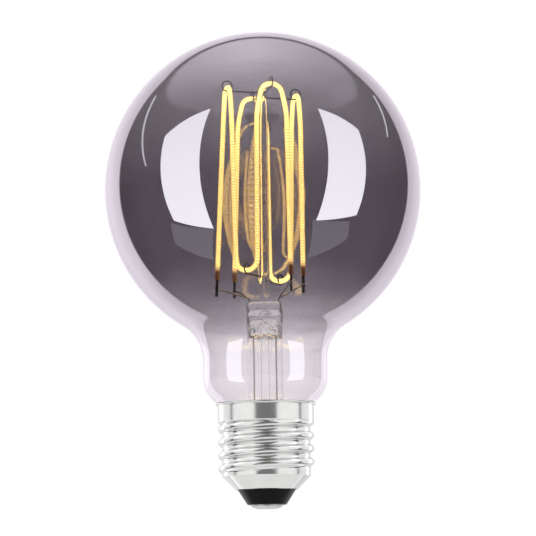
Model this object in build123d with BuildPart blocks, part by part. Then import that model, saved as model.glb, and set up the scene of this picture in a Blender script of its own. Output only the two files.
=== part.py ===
"""LED filament bulb: globe, filament mount, screw cap and driver, in millimetres.

The origin is the lowest point of the centre contact. +Z runs up the bulb's axis.
"""

import os
from math import atan2, cos, radians, sin, sqrt

from build123d import *

# Screw cap, Edison 27
THREAD_CREST_R = 13.2
THREAD_ROOT_R = 12.15
THREAD_PITCH = 3.629
THREAD_ARC_R = 1.025
THREAD_PHASE_Z = 12.7
THREAD_START_TURN = 150.0
SHEET = 0.3
SKIRT_R = 13.25
SKIRT_BOTTOM_Z = 23.8
SHOULDER_BOTTOM_Z = 22.6
RIM_R = 13.75
RIM_Z = 28.8
CONE_EDGE_R = 8.45
CONE_EDGE_Z = 5.2
HOLLOW_PAST = 1.0

# Insulator and centre contact
INSULATOR_GAP = 0.05
INSULATOR_TIP_R = 5.35
INSULATOR_TIP_Z = 1.1
INSULATOR_TIP_FILLET = 0.6
INSULATOR_TOP_Z = 8.2
CONTACT_R = 4.35
CONTACT_FLAT_R = 2.4
CONTACT_EDGE_Z = 0.75
SHANK_R = 1.15
SHANK_HEAD_R = 1.9
SHANK_HEAD_H = 0.5
SHANK_GAP = 0.05

# Glass globe
GLASS_WALL = 0.9
GLOBE_R = 44.0
GLOBE_CENTRE_Z = 88.6
NECK_R = 17.15
NECK_FILLET_R = 11.4
SHOULDER_R = 8.0
SHOULDER_ANGLE = 44.0
MOUTH_R = 12.2
MOUTH_FILLET_R = 1.5
MOUTH_TOP_Z = 27.04
MOUTH_Z = 24.0

# Glass stem
STEM_R = 4.85
STEM_WALL = 1.2
FLARE_R = 5.5
PINCH_BASE_Z = 48.6
PINCH_FULL_Z = 52.4
PINCH_TOP_Z = 57.2
PINCH_WIDTH = 10.4
PINCH_DEPTH = 5.8
PINCH_CORNER = 2.6
PINCH_TOP_FILLET = 1.5
BORE_END_Z = 47.9
BORE_END_FILLET = 1.0
EXHAUST_R = 2.0
EXHAUST_BORE_R = 1.0
EXHAUST_TIP_Z = 18.4
EXHAUST_TIP_H = 3.0
BLOW_HOLE_Z = 51.8
BLOW_HOLE_R = 0.9
POST_R = 1.6
POST_TOP_ABOVE_WIRE = 1.6

# Filaments
FILAMENT_R = 0.7
LEFT_APEX_Z = 117.45
FRONT_APEX_Z = 116.9
RIGHT_APEX_Z = 116.05
BACK_APEX_Z = 117.15
APEX_RADIUS = 10.0
APEX_TURN = 16.0
ARCH_HALF = 4.3
ARCH_CROWN_HALF = 2.5
ARCH_CROWN_R = 3.0
ARCH_FOOT_DROP = 7.8
ARCH_FOOT_R = 30.0
FRONT_BEND_Z = 65.0
BACK_BEND_Z = 64.0
BEND_RADIUS = 9.5
BEND_TURN = 61.0
BEND_HALF = 3.3
BEND_R = 3.2
END_Z = 63.8
FRONT_START_RADIUS = 13.5
FRONT_START_TURN = 166.0
FRONT_FINISH_RADIUS = 10.75
FRONT_FINISH_TURN = 313.6
BACK_START_RADIUS = 11.3
BACK_START_TURN = 343.6
BACK_FINISH_RADIUS = 11.4
BACK_FINISH_TURN = 137.0

# Filament end tabs
TAB_LENGTH = 4.6
TAB_WIDTH = 0.8
TAB_THICK = 0.3
WELD_DROP = 2.4
WELD_GAP = 0.02
WELD_OVERRUN = 1.1

# Wires
HOOK_WIRE_R = 0.2
HOOK_RING_R = 1.45
HOOK_SWEEP = 315.0
HOOK_ROOT_RADIUS = 0.5
HOOK_GAP = 0.02
LEAD_WIRE_R = 0.25
LEAD_EXIT_X = 4.0
LEAD_TUBE_X = 3.15
LEAD_RISE = 0.9
LEAD_BEND_R = 1.0
BRANCH_DEPTH = 2.0
BRANCH_GAP = 0.02

# Basing cement
CEMENT_TOP_Z = 26.8
CEMENT_BOTTOM_Z = 24.2

# Driver
BOARD_FRONT_Y = 3.3
BOARD_THICK = 1.0
BOARD_WIDTH = 18.0
BOARD_TOP_Z = 21.6
LEAD_PAD_Z = 18.9
CAPACITOR_R = 3.15
CAPACITOR_H = 9.0
CAPACITOR_X = -5.5
CAPACITOR_LIP_R = 0.35
CHIP_LENGTH = 4.9
CHIP_WIDTH = 3.9
CHIP_HEIGHT = 1.5
CHIP_Z = 16.0
CHIP_X = 4.4
RECTIFIER_SIZE = 4.7
RECTIFIER_HEIGHT = 2.2
LEG_WIDTH = 0.5
LEG_THICK = 0.2
LEG_REACH = 0.9
RESISTOR_R = 1.2
RESISTOR_H = 6.0
RESISTOR_X = 5.4
RESISTOR_Y = -1.0
RESISTOR_Z = 10.6
COMPONENT_WIRE_R = 0.25
WIRE_BEND_R = 0.6
WIRE_IN_SHANK = 3.0
NEUTRAL_Z = 11.8
NEUTRAL_WIRE_R = 0.4
NEUTRAL_GAP = 0.05

# Values that follow from the sizes above
CONE_STEP = SHEET * sqrt(2)
BOARD_BACK_Y = BOARD_FRONT_Y + BOARD_THICK
SHANK_TOP_Z = INSULATOR_TOP_Z + SHANK_HEAD_H
HOOK_DROP = FILAMENT_R + HOOK_GAP + HOOK_WIRE_R
FLARE_EDGE_R = MOUTH_R - GLASS_WALL


def around(radius, turn, z):
    """Point at a radius and a turn about the bulb's axis."""
    return Vector(radius * cos(radians(turn)), radius * sin(radians(turn)), z)


def along(turn):
    """Unit vector along a circle about the axis, anticlockwise from above."""
    return Vector(-sin(radians(turn)), cos(radians(turn)), 0)


def flat(vector):
    """Unit vector of the level part of a vector."""
    return Vector(vector.X, vector.Y, 0).normalized()


FRONT_START = around(FRONT_START_RADIUS, FRONT_START_TURN, END_Z)
FRONT_FINISH = around(FRONT_FINISH_RADIUS, FRONT_FINISH_TURN, END_Z)
BACK_START = around(BACK_START_RADIUS, BACK_START_TURN, END_Z)
BACK_FINISH = around(BACK_FINISH_RADIUS, BACK_FINISH_TURN, END_Z)


def glass_profile(inset):
    """Half section of the bulb glass, moved inwards by an inset."""
    foot = radians(SHOULDER_ANGLE)
    neck_r = NECK_R - inset
    end_r = MOUTH_R - inset
    fillet_x = NECK_R + NECK_FILLET_R
    reach = GLOBE_R + NECK_FILLET_R
    fillet_z = GLOBE_CENTRE_Z - sqrt(reach**2 - fillet_x**2)
    share = (GLOBE_R - inset) / reach
    joint = (fillet_x * share, GLOBE_CENTRE_Z + (fillet_z - GLOBE_CENTRE_Z) * share)
    crown_z = GLOBE_CENTRE_Z + GLOBE_R - inset
    shoulder_x = NECK_R - SHOULDER_R
    shoulder_arc = SHOULDER_R - inset
    mouth_x = MOUTH_R + MOUTH_FILLET_R
    span = SHOULDER_R + MOUTH_FILLET_R
    shoulder_z = MOUTH_TOP_Z + (span - (mouth_x - shoulder_x) * cos(foot)) / sin(foot)
    shoulder_end = (shoulder_x + shoulder_arc * cos(foot), shoulder_z - shoulder_arc * sin(foot))
    mouth_arc = MOUTH_FILLET_R + inset
    mouth_start = (mouth_x - mouth_arc * cos(foot), MOUTH_TOP_Z + mouth_arc * sin(foot))
    half = foot / 2
    shoulder_mid = (shoulder_x + shoulder_arc * cos(half), shoulder_z - shoulder_arc * sin(half))
    mouth_mid = (mouth_x - mouth_arc * cos(half), MOUTH_TOP_Z + mouth_arc * sin(half))
    blend = atan2(fillet_z - joint[1], fillet_x - joint[0]) / 2
    neck_arc = NECK_FILLET_R + inset
    neck_mid = (fillet_x - neck_arc * cos(blend), fillet_z - neck_arc * sin(blend))
    ThreePointArc((0, crown_z), (GLOBE_R - inset, GLOBE_CENTRE_Z), joint)
    ThreePointArc(joint, neck_mid, (neck_r, fillet_z))
    Line((neck_r, fillet_z), (neck_r, shoulder_z))
    ThreePointArc((neck_r, shoulder_z), shoulder_mid, shoulder_end)
    Line(shoulder_end, mouth_start)
    ThreePointArc(mouth_start, mouth_mid, (end_r, MOUTH_TOP_Z))
    Line((end_r, MOUTH_TOP_Z), (end_r, MOUTH_Z))
    Line((end_r, MOUTH_Z), (0, MOUTH_Z))
    Line((0, MOUTH_Z), (0, crown_z))


def filament_route(turn, start, finish, crown_heights, bend_z):
    """Corners and bend radii of one filament, turned about the axis."""
    first_apex = APEX_TURN + turn
    second_apex = 90 + APEX_TURN + turn
    bend = BEND_TURN + turn
    points = [start]
    radii = []
    for apex, apex_z in zip((first_apex, second_apex), crown_heights):
        crown = around(APEX_RADIUS, apex, apex_z)
        foot = around(APEX_RADIUS, apex, apex_z - ARCH_FOOT_DROP)
        side = along(apex)
        points += [foot - side * ARCH_HALF, crown - side * ARCH_CROWN_HALF]
        points += [crown + side * ARCH_CROWN_HALF, foot + side * ARCH_HALF]
        radii += [ARCH_FOOT_R, ARCH_CROWN_R, ARCH_CROWN_R, ARCH_FOOT_R]
        if apex == first_apex:
            low = around(BEND_RADIUS, bend, bend_z)
            points += [low - along(bend) * BEND_HALF, low + along(bend) * BEND_HALF]
            radii += [BEND_R, BEND_R]
    points.append(finish)
    return points, radii


def leg(foot, apex_turn, apex_z, side):
    """Foot of a filament leg, and the leg's direction away from the tab."""
    knee = around(APEX_RADIUS, apex_turn, apex_z - ARCH_FOOT_DROP) + along(apex_turn) * ARCH_HALF * side
    return foot, (knee - foot).normalized()


def weld_run(foot, rise, start):
    """Spot on a tab that a wire from start is welded to, and the wire's level direction."""
    spot = foot - rise * WELD_DROP
    return spot, flat(spot - start)


def weld_point(foot, rise, start):
    """Where a wire from start lies against a tab."""
    spot, run = weld_run(foot, rise, start)
    aside = run.cross(Vector(0, 0, 1))
    return spot + aside * (TAB_THICK / 2 + LEAD_WIRE_R + WELD_GAP)


def hook(radius, turn, z):
    """Wire from the post that curls round a filament whose centre is at z."""
    wire_z = z - HOOK_DROP
    plane = Plane(origin=(0, 0, wire_z), x_dir=around(1, turn, 0), z_dir=-along(turn))
    with BuildLine(plane) as route:
        Line((HOOK_ROOT_RADIUS, 0), (radius, 0))
        CenterArc((radius, HOOK_RING_R), HOOK_RING_R, -90, HOOK_SWEEP)
    with BuildSketch(Plane(origin=route.line @ 0, z_dir=route.line % 0)) as section:
        Circle(HOOK_WIRE_R)
    sweep(section.sketch, path=route.line)


def wire(points, radii, size):
    """Round wire along straight runs joined by tangent bends."""
    with BuildLine() as route:
        FilletPolyline(*points, radius=radii)
    with BuildSketch(Plane(origin=route.line @ 0, z_dir=route.line % 0)) as section:
        Circle(size)
    sweep(section.sketch, path=route.line)


def ridge_outline(inset, start_z, low_z):
    """Half or whole section of the thread's ridge, in a plane through the axis."""
    root_r = THREAD_ROOT_R - inset
    crest_r = THREAD_CREST_R - inset
    half = THREAD_ARC_R - inset
    base_r = root_r - half
    flank_r = crest_r - half
    top_z = start_z + half
    Line((base_r, low_z), (base_r, top_z))
    Line((base_r, top_z), (flank_r, top_z))
    if low_z < start_z:
        ThreePointArc((flank_r, top_z), (crest_r, start_z), (flank_r, low_z))
        Line((flank_r, low_z), (base_r, low_z))
    else:
        bulge = half * cos(radians(45))
        ThreePointArc((flank_r, top_z), (flank_r + bulge, start_z + bulge), (crest_r, start_z))
        Line((crest_r, start_z), (base_r, start_z))


def screw_body(inset, past):
    """Solid inside the screw shell's outer face, moved inwards by an inset.

    The ends run on by past, so that the hollow cuts right through the shell.
    """
    root_r = THREAD_ROOT_R - inset
    skirt_r = SKIRT_R - inset
    low_z = CONE_EDGE_Z - past
    low_r = CONE_EDGE_R - inset * sqrt(2) - past
    start_z = THREAD_PHASE_Z + THREAD_PITCH * (THREAD_START_TURN / 360 - 1)
    height = SKIRT_BOTTOM_Z + THREAD_ARC_R + THREAD_PITCH / 4 - start_z
    with BuildSketch(Plane.YZ) as core:
        with BuildLine():
            Polyline(
                (0, low_z),
                (low_r, low_z),
                (root_r, low_z + root_r - low_r),
                (root_r, SKIRT_BOTTOM_Z + THREAD_PITCH),
                (0, SKIRT_BOTTOM_Z + THREAD_PITCH),
                close=True,
            )
        make_face()
    revolve(core.sketch, axis=Axis.Z)
    with BuildLine() as route:
        Helix(pitch=THREAD_PITCH, height=height, radius=root_r, center=(0, 0, start_z))
    with BuildSketch(Plane.XZ) as ridge:
        with BuildLine():
            ridge_outline(inset, start_z, start_z - THREAD_ARC_R + inset)
        make_face()
    sweep(ridge.sketch, path=route.line, is_frenet=True)
    with BuildSketch(Plane.XZ) as nose:
        with BuildLine():
            ridge_outline(inset, start_z, start_z)
        make_face()
    revolve(nose.sketch, axis=Axis((0, 0, start_z), (1, 0, 0)))
    slope = (SKIRT_R - THREAD_ROOT_R) / (SKIRT_BOTTOM_Z - SHOULDER_BOTTOM_Z)
    deep_r = root_r - THREAD_ARC_R
    deep_z = SKIRT_BOTTOM_Z - (skirt_r - deep_r) / slope
    lip = RIM_R - SKIRT_R + inset
    lip_z = RIM_Z - (RIM_R - SKIRT_R) - SHEET
    lip_mid = (RIM_R - lip * cos(radians(45)), lip_z + lip * sin(radians(45)))
    with BuildSketch(Plane.YZ) as skirt:
        with BuildLine():
            Line((0, deep_z), (deep_r, deep_z))
            Line((deep_r, deep_z), (skirt_r, SKIRT_BOTTOM_Z))
            Line((skirt_r, SKIRT_BOTTOM_Z), (skirt_r, lip_z))
            ThreePointArc((skirt_r, lip_z), lip_mid, (RIM_R, lip_z + lip))
            Line((RIM_R, lip_z + lip), (RIM_R, RIM_Z + past))
            Line((RIM_R, RIM_Z + past), (0, RIM_Z + past))
            Line((0, RIM_Z + past), (0, deep_z))
        make_face()
    revolve(skirt.sketch, axis=Axis.Z)


# Glass globe
with BuildPart() as glass_globe:
    with BuildSketch(Plane.XZ):
        with BuildLine():
            glass_profile(0)
        make_face()
    revolve(axis=Axis.Z)
    with BuildSketch(Plane.XZ):
        with BuildLine():
            glass_profile(GLASS_WALL)
        make_face()
    revolve(axis=Axis.Z, mode=Mode.SUBTRACT)

# Screw shell, rolled from one sheet
with BuildPart() as shell_hollow:
    screw_body(SHEET, HOLLOW_PAST)

with BuildPart() as shell_body:
    screw_body(0, 0)
    add(shell_hollow.part, mode=Mode.SUBTRACT)

with BuildPart() as cap_shell:
    add(shell_body.part, rotation=(0, 0, THREAD_START_TURN))

# Insulator that closes the shell's lower end
with BuildPart() as cap_insulator:
    plug_low_r = CONE_EDGE_R - CONE_STEP - INSULATOR_GAP
    plug_top_r = plug_low_r + INSULATOR_TOP_Z - CONE_EDGE_Z
    with BuildSketch(Plane.XZ) as insulator_section:
        with BuildLine():
            Polyline(
                (0, INSULATOR_TIP_Z),
                (INSULATOR_TIP_R, INSULATOR_TIP_Z),
                (plug_low_r, CONE_EDGE_Z),
                (plug_top_r, INSULATOR_TOP_Z),
                (0, INSULATOR_TOP_Z),
                close=True,
            )
        make_face()
        tip = insulator_section.vertices().sort_by(Axis.Y)[:2].sort_by(Axis.X)[-1]
        fillet(tip, INSULATOR_TIP_FILLET)
    revolve(axis=Axis.Z)
    with Locations((0, 0, INSULATOR_TIP_Z)):
        Hole(SHANK_R + SHANK_GAP)

# Centre contact, riveted through the insulator
with BuildPart() as centre_contact:
    with BuildSketch(Plane.XZ):
        with BuildLine():
            rise = CONTACT_EDGE_Z
            mid_r = (CONTACT_R + CONTACT_FLAT_R) / 2
            Line((0, 0), (CONTACT_FLAT_R, 0))
            ThreePointArc((CONTACT_FLAT_R, 0), (mid_r, rise * 0.28), (CONTACT_R, rise))
            Line((CONTACT_R, rise), (CONTACT_R, INSULATOR_TIP_Z))
            Line((CONTACT_R, INSULATOR_TIP_Z), (SHANK_R, INSULATOR_TIP_Z))
            Line((SHANK_R, INSULATOR_TIP_Z), (SHANK_R, INSULATOR_TOP_Z))
            Line((SHANK_R, INSULATOR_TOP_Z), (SHANK_HEAD_R, INSULATOR_TOP_Z))
            Line((SHANK_HEAD_R, INSULATOR_TOP_Z), (SHANK_HEAD_R, SHANK_TOP_Z))
            Line((SHANK_HEAD_R, SHANK_TOP_Z), (0, SHANK_TOP_Z))
            Line((0, SHANK_TOP_Z), (0, 0))
        make_face()
    revolve(axis=Axis.Z)
    with Locations(Plane(origin=(0, 0, SHANK_TOP_Z))):
        Hole(COMPONENT_WIRE_R + WELD_GAP, depth=WIRE_IN_SHANK + SHANK_GAP)

# Cement between the neck and the shell's skirt
with BuildPart() as basing_cement:
    with BuildSketch(Plane.XZ):
        with Locations(((MOUTH_R + SKIRT_R - SHEET) / 2, (CEMENT_TOP_Z + CEMENT_BOTTOM_Z) / 2)):
            Rectangle(SKIRT_R - SHEET - MOUTH_R, CEMENT_TOP_Z - CEMENT_BOTTOM_Z)
    revolve(axis=Axis.Z)

# Filaments, looped up and down round the post
with BuildPart() as filament_front:
    front_crowns = (LEFT_APEX_Z, FRONT_APEX_Z)
    wire(*filament_route(180, FRONT_START, FRONT_FINISH, front_crowns, FRONT_BEND_Z), FILAMENT_R)

with BuildPart() as filament_back:
    back_crowns = (RIGHT_APEX_Z, BACK_APEX_Z)
    wire(*filament_route(0, BACK_START, BACK_FINISH, back_crowns, BACK_BEND_Z), FILAMENT_R)


def end_tab(foot, rise, start):
    """Flat metal tab that carries on from the foot of a filament leg."""
    run = weld_run(foot, rise, start)[1]
    aside = rise.cross(run).normalized()
    with BuildSketch(Plane(origin=foot, x_dir=aside, z_dir=-rise)) as section:
        Rectangle(TAB_THICK, TAB_WIDTH)
    extrude(section.sketch, amount=TAB_LENGTH)


def exit_point(turn):
    """Where a lead leaves the top of the pinch."""
    return around(LEAD_EXIT_X, 180 + turn, PINCH_TOP_Z + LEAD_RISE)


def branch_point(turn):
    """Where the second arm of a lead starts to bend away."""
    return exit_point(turn) - along(180 + turn) * (2 * LEAD_WIRE_R + BRANCH_GAP)


def lead_route(turn, end):
    """Corners of a lead, from the board up through the stem to a tab."""
    top = exit_point(turn)
    pinch = around(LEAD_EXIT_X, 180 + turn, PINCH_FULL_Z)
    tube = around(LEAD_TUBE_X, 180 + turn, BORE_END_Z)
    low = around(LEAD_TUBE_X, 180 + turn, MOUTH_Z - 0.6)
    pad_y = BOARD_FRONT_Y - LEAD_WIRE_R - WELD_GAP
    pad_top = Vector(tube.X, pad_y, BOARD_TOP_Z - 0.6)
    pad_end = Vector(tube.X, pad_y, LEAD_PAD_Z)
    spot = weld_point(*end, top)
    reach = (spot - top).normalized()
    return [pad_end, pad_top, low, tube, pinch, top, spot + reach * WELD_OVERRUN]


def branch_route(turn, end):
    """Corners of a lead's second arm, from inside the pinch to a tab."""
    top = branch_point(turn)
    foot = top - Vector(0, 0, LEAD_RISE + BRANCH_DEPTH)
    spot = weld_point(*end, top)
    reach = (spot - top).normalized()
    return [foot, top, spot + reach * WELD_OVERRUN]


front_left_leg = leg(FRONT_START, 180 + APEX_TURN, LEFT_APEX_Z, -1)
back_left_leg = leg(BACK_FINISH, 90 + APEX_TURN, BACK_APEX_Z, 1)
back_right_leg = leg(BACK_START, APEX_TURN, RIGHT_APEX_Z, -1)
front_right_leg = leg(FRONT_FINISH, 270 + APEX_TURN, FRONT_APEX_Z, 1)

with BuildPart() as tab_front_left:
    end_tab(*front_left_leg, exit_point(0))

with BuildPart() as tab_back_left:
    end_tab(*back_left_leg, branch_point(0))

with BuildPart() as tab_back_right:
    end_tab(*back_right_leg, exit_point(180))

with BuildPart() as tab_front_right:
    end_tab(*front_right_leg, branch_point(180))

# Leads and their second arms
with BuildPart() as lead_left:
    wire(lead_route(0, front_left_leg), LEAD_BEND_R, LEAD_WIRE_R)

with BuildPart() as lead_right:
    wire(lead_route(180, back_right_leg), LEAD_BEND_R, LEAD_WIRE_R)

with BuildPart() as branch_left:
    wire(branch_route(0, back_left_leg), LEAD_BEND_R, LEAD_WIRE_R)

with BuildPart() as branch_right:
    wire(branch_route(180, front_right_leg), LEAD_BEND_R, LEAD_WIRE_R)

# Support hooks
with BuildPart() as top_hook_left:
    hook(APEX_RADIUS, 180 + APEX_TURN, LEFT_APEX_Z)

with BuildPart() as top_hook_front:
    hook(APEX_RADIUS, 270 + APEX_TURN, FRONT_APEX_Z)

with BuildPart() as top_hook_right:
    hook(APEX_RADIUS, APEX_TURN, RIGHT_APEX_Z)

with BuildPart() as top_hook_back:
    hook(APEX_RADIUS, 90 + APEX_TURN, BACK_APEX_Z)

with BuildPart() as low_hook_front:
    hook(BEND_RADIUS, 180 + BEND_TURN, FRONT_BEND_Z)

with BuildPart() as low_hook_back:
    hook(BEND_RADIUS, BEND_TURN, BACK_BEND_Z)

# Glass post with the hooks set in it
with BuildPart() as centre_post:
    post_top = LEFT_APEX_Z - HOOK_DROP + POST_TOP_ABOVE_WIRE
    with Locations((0, 0, PINCH_TOP_Z)):
        Cylinder(POST_R, post_top - PINCH_TOP_Z, align=(Align.CENTER, Align.CENTER, Align.MIN))
    fillet(centre_post.edges().sort_by(Axis.Z)[-1], POST_R * 0.8)
    for held in (top_hook_left, top_hook_front, top_hook_right, top_hook_back, low_hook_front, low_hook_back):
        add(held.part, mode=Mode.SUBTRACT)

# Stem: flare, tube and pinch drawn from one piece of glass
with BuildPart() as stem:
    flare_x = STEM_R + FLARE_R
    flare_z = MOUTH_Z + STEM_WALL + FLARE_R
    inner_r = STEM_R - STEM_WALL
    under = FLARE_R + STEM_WALL
    with BuildSketch(Plane.XZ):
        with BuildLine():
            Line((0, PINCH_BASE_Z), (STEM_R, PINCH_BASE_Z))
            Line((STEM_R, PINCH_BASE_Z), (STEM_R, flare_z))
            CenterArc((flare_x, flare_z), FLARE_R, 180, 90)
            Line((flare_x, flare_z - FLARE_R), (FLARE_EDGE_R, flare_z - FLARE_R))
            Line((FLARE_EDGE_R, flare_z - FLARE_R), (FLARE_EDGE_R, MOUTH_Z))
            Line((FLARE_EDGE_R, MOUTH_Z), (flare_x, MOUTH_Z))
            CenterArc((flare_x, flare_z), under, 180, 90)
            Line((inner_r, flare_z), (inner_r, BORE_END_Z - BORE_END_FILLET))
            CenterArc((inner_r - BORE_END_FILLET, BORE_END_Z - BORE_END_FILLET), BORE_END_FILLET, 0, 90)
            Line((inner_r - BORE_END_FILLET, BORE_END_Z), (0, BORE_END_Z))
            Line((0, BORE_END_Z), (0, PINCH_BASE_Z))
        make_face()
    revolve(axis=Axis.Z)
    with BuildSketch(Plane(origin=(0, 0, PINCH_BASE_Z))) as tube_end:
        Circle(STEM_R)
    with BuildSketch(Plane(origin=(0, 0, PINCH_FULL_Z))) as pinch_end:
        RectangleRounded(PINCH_WIDTH, PINCH_DEPTH, PINCH_CORNER)
    loft([tube_end.sketch, pinch_end.sketch])
    extrude(pinch_end.sketch, amount=PINCH_TOP_Z - PINCH_FULL_Z)
    fillet(stem.faces().sort_by(Axis.Z)[-1].edges(), PINCH_TOP_FILLET)
    with Locations((0, 0, BORE_END_Z)):
        Cylinder(
            EXHAUST_BORE_R,
            BLOW_HOLE_Z - BORE_END_Z,
            align=(Align.CENTER, Align.CENTER, Align.MIN),
            mode=Mode.SUBTRACT,
        )
    with Locations(Plane(origin=(0, 0, BLOW_HOLE_Z), z_dir=(0, -1, 0))):
        Cylinder(
            BLOW_HOLE_R,
            STEM_R + PINCH_WIDTH,
            align=(Align.CENTER, Align.CENTER, Align.MIN),
            mode=Mode.SUBTRACT,
        )
    for held in (lead_left, lead_right, branch_left, branch_right):
        add(held.part, mode=Mode.SUBTRACT)

# Exhaust tube with its melted tip
with BuildPart() as exhaust_tube:
    tip_top = EXHAUST_TIP_Z + EXHAUST_TIP_H
    bore_start = tip_top + EXHAUST_R - EXHAUST_BORE_R
    with BuildSketch(Plane.XZ):
        with BuildLine():
            Line((EXHAUST_BORE_R, BORE_END_Z), (EXHAUST_R, BORE_END_Z))
            Line((EXHAUST_R, BORE_END_Z), (EXHAUST_R, tip_top))
            Line((EXHAUST_R, tip_top), (EXHAUST_BORE_R, EXHAUST_TIP_Z))
            Line((EXHAUST_BORE_R, EXHAUST_TIP_Z), (0, EXHAUST_TIP_Z))
            Line((0, EXHAUST_TIP_Z), (0, tip_top))
            Line((0, tip_top), (EXHAUST_BORE_R, bore_start))
            Line((EXHAUST_BORE_R, bore_start), (EXHAUST_BORE_R, BORE_END_Z))
        make_face()
    revolve(axis=Axis.Z)

# Driver board, standing on the insulator
with BuildPart() as driver_board:
    board_height = BOARD_TOP_Z - INSULATOR_TOP_Z
    with Locations((0, BOARD_FRONT_Y + BOARD_THICK / 2, INSULATOR_TOP_Z)):
        Box(BOARD_WIDTH, BOARD_THICK, board_height, align=(Align.CENTER, Align.CENTER, Align.MIN))
    fillet(driver_board.edges().filter_by(Axis.Y).sort_by(Axis.Z)[-2:], 1.0)

with BuildPart() as smoothing_capacitor:
    with Locations((CAPACITOR_X, BOARD_FRONT_Y - CAPACITOR_R, INSULATOR_TOP_Z)):
        Cylinder(CAPACITOR_R, CAPACITOR_H, align=(Align.CENTER, Align.CENTER, Align.MIN))
    fillet(smoothing_capacitor.edges().filter_by(GeomType.CIRCLE), CAPACITOR_LIP_R)


def surface_part(x, z, length, width, height, legs):
    """Moulded body on the board's back with flat legs on both long sides."""
    with Locations((x, BOARD_BACK_Y + height / 2, z)):
        Box(length, height, width)
    pitch = length / legs
    for count in range(legs):
        leg_x = x + (count - (legs - 1) / 2) * pitch
        for side in (-1, 1):
            with Locations((leg_x, BOARD_BACK_Y + LEG_THICK / 2, z + side * (width + LEG_REACH) / 2)):
                Box(LEG_WIDTH, LEG_THICK, LEG_REACH)


with BuildPart() as driver_chip:
    surface_part(CHIP_X, CHIP_Z, CHIP_LENGTH, CHIP_WIDTH, CHIP_HEIGHT, 4)

with BuildPart() as bridge_rectifier:
    surface_part(-CHIP_X, CHIP_Z, RECTIFIER_SIZE, RECTIFIER_SIZE, RECTIFIER_HEIGHT, 2)

# Fusible resistor between the centre contact and the board
with BuildPart() as fuse_resistor:
    with Locations((RESISTOR_X, RESISTOR_Y, RESISTOR_Z)):
        Cylinder(RESISTOR_R, RESISTOR_H, align=(Align.CENTER, Align.CENTER, Align.MIN))
    fillet(fuse_resistor.edges().filter_by(GeomType.CIRCLE), RESISTOR_R / 3)
    run_z = SHANK_TOP_Z + 2 * WIRE_BEND_R
    low_lead = [
        (0, 0, SHANK_TOP_Z - WIRE_IN_SHANK),
        (0, 0, run_z),
        (RESISTOR_X, RESISTOR_Y, run_z),
        (RESISTOR_X, RESISTOR_Y, RESISTOR_Z + RESISTOR_H / 2),
    ]
    wire(low_lead, WIRE_BEND_R, COMPONENT_WIRE_R)
    top_z = RESISTOR_Z + RESISTOR_H + 2 * WIRE_BEND_R
    top_lead = [
        (RESISTOR_X, RESISTOR_Y, RESISTOR_Z + RESISTOR_H / 2),
        (RESISTOR_X, RESISTOR_Y, top_z),
        (RESISTOR_X, BOARD_FRONT_Y, top_z),
    ]
    wire(top_lead, WIRE_BEND_R, COMPONENT_WIRE_R)

# Wire from the board to the screw shell
with BuildPart() as neutral_wire:
    wall_y = THREAD_ROOT_R - SHEET - NEUTRAL_GAP
    with Locations(Plane(origin=(0, BOARD_BACK_Y, NEUTRAL_Z), z_dir=(0, 1, 0))):
        Cylinder(NEUTRAL_WIRE_R, wall_y - BOARD_BACK_Y, align=(Align.CENTER, Align.CENTER, Align.MIN))

NODES = {
    "glass_globe": glass_globe,
    "stem": stem,
    "exhaust_tube": exhaust_tube,
    "centre_post": centre_post,
    "filament_front": filament_front,
    "filament_back": filament_back,
    "tab_front_left": tab_front_left,
    "tab_back_left": tab_back_left,
    "tab_back_right": tab_back_right,
    "tab_front_right": tab_front_right,
    "lead_left": lead_left,
    "lead_right": lead_right,
    "branch_left": branch_left,
    "branch_right": branch_right,
    "top_hook_left": top_hook_left,
    "top_hook_front": top_hook_front,
    "top_hook_right": top_hook_right,
    "top_hook_back": top_hook_back,
    "low_hook_front": low_hook_front,
    "low_hook_back": low_hook_back,
    "cap_shell": cap_shell,
    "cap_insulator": cap_insulator,
    "centre_contact": centre_contact,
    "basing_cement": basing_cement,
    "driver_board": driver_board,
    "smoothing_capacitor": smoothing_capacitor,
    "bridge_rectifier": bridge_rectifier,
    "driver_chip": driver_chip,
    "fuse_resistor": fuse_resistor,
    "neutral_wire": neutral_wire,
}

os.makedirs("parts", exist_ok=True)
for name, node in NODES.items():
    node.part.label = name
    export_step(node.part, f"parts/{name}.step")
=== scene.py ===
"""Studio scene of a globe bulb with looped LED filaments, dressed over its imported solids."""

import logging
import math
from dataclasses import dataclass, fields
from enum import Enum

import bmesh
import bpy
from mathutils import Matrix, Vector


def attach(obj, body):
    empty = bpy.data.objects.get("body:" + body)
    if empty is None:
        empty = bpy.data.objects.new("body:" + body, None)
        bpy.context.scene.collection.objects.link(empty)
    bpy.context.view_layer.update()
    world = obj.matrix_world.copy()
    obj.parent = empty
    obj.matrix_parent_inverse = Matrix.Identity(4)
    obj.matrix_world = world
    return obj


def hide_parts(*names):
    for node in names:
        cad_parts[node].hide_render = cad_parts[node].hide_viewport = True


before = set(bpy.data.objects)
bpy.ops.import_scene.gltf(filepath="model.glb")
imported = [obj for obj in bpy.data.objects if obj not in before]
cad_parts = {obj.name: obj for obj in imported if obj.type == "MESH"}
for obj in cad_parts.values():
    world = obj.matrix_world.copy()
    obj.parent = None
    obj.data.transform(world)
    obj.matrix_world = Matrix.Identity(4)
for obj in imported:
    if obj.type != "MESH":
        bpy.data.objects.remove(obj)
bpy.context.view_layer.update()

MM = 0.001
# Edges that turn by more degrees than this stay sharp
CREASE = 40.0
# Points nearer than this in millimetres become one
MERGE = 1e-4
# Turn about the bulb's axis that faces the camera, in degrees
CAMERA_SIDE = -90.0
ROOT_BODY = "root"
LOG = logging.getLogger("filament_bulb")

Point = tuple[float, float, float]


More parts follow.
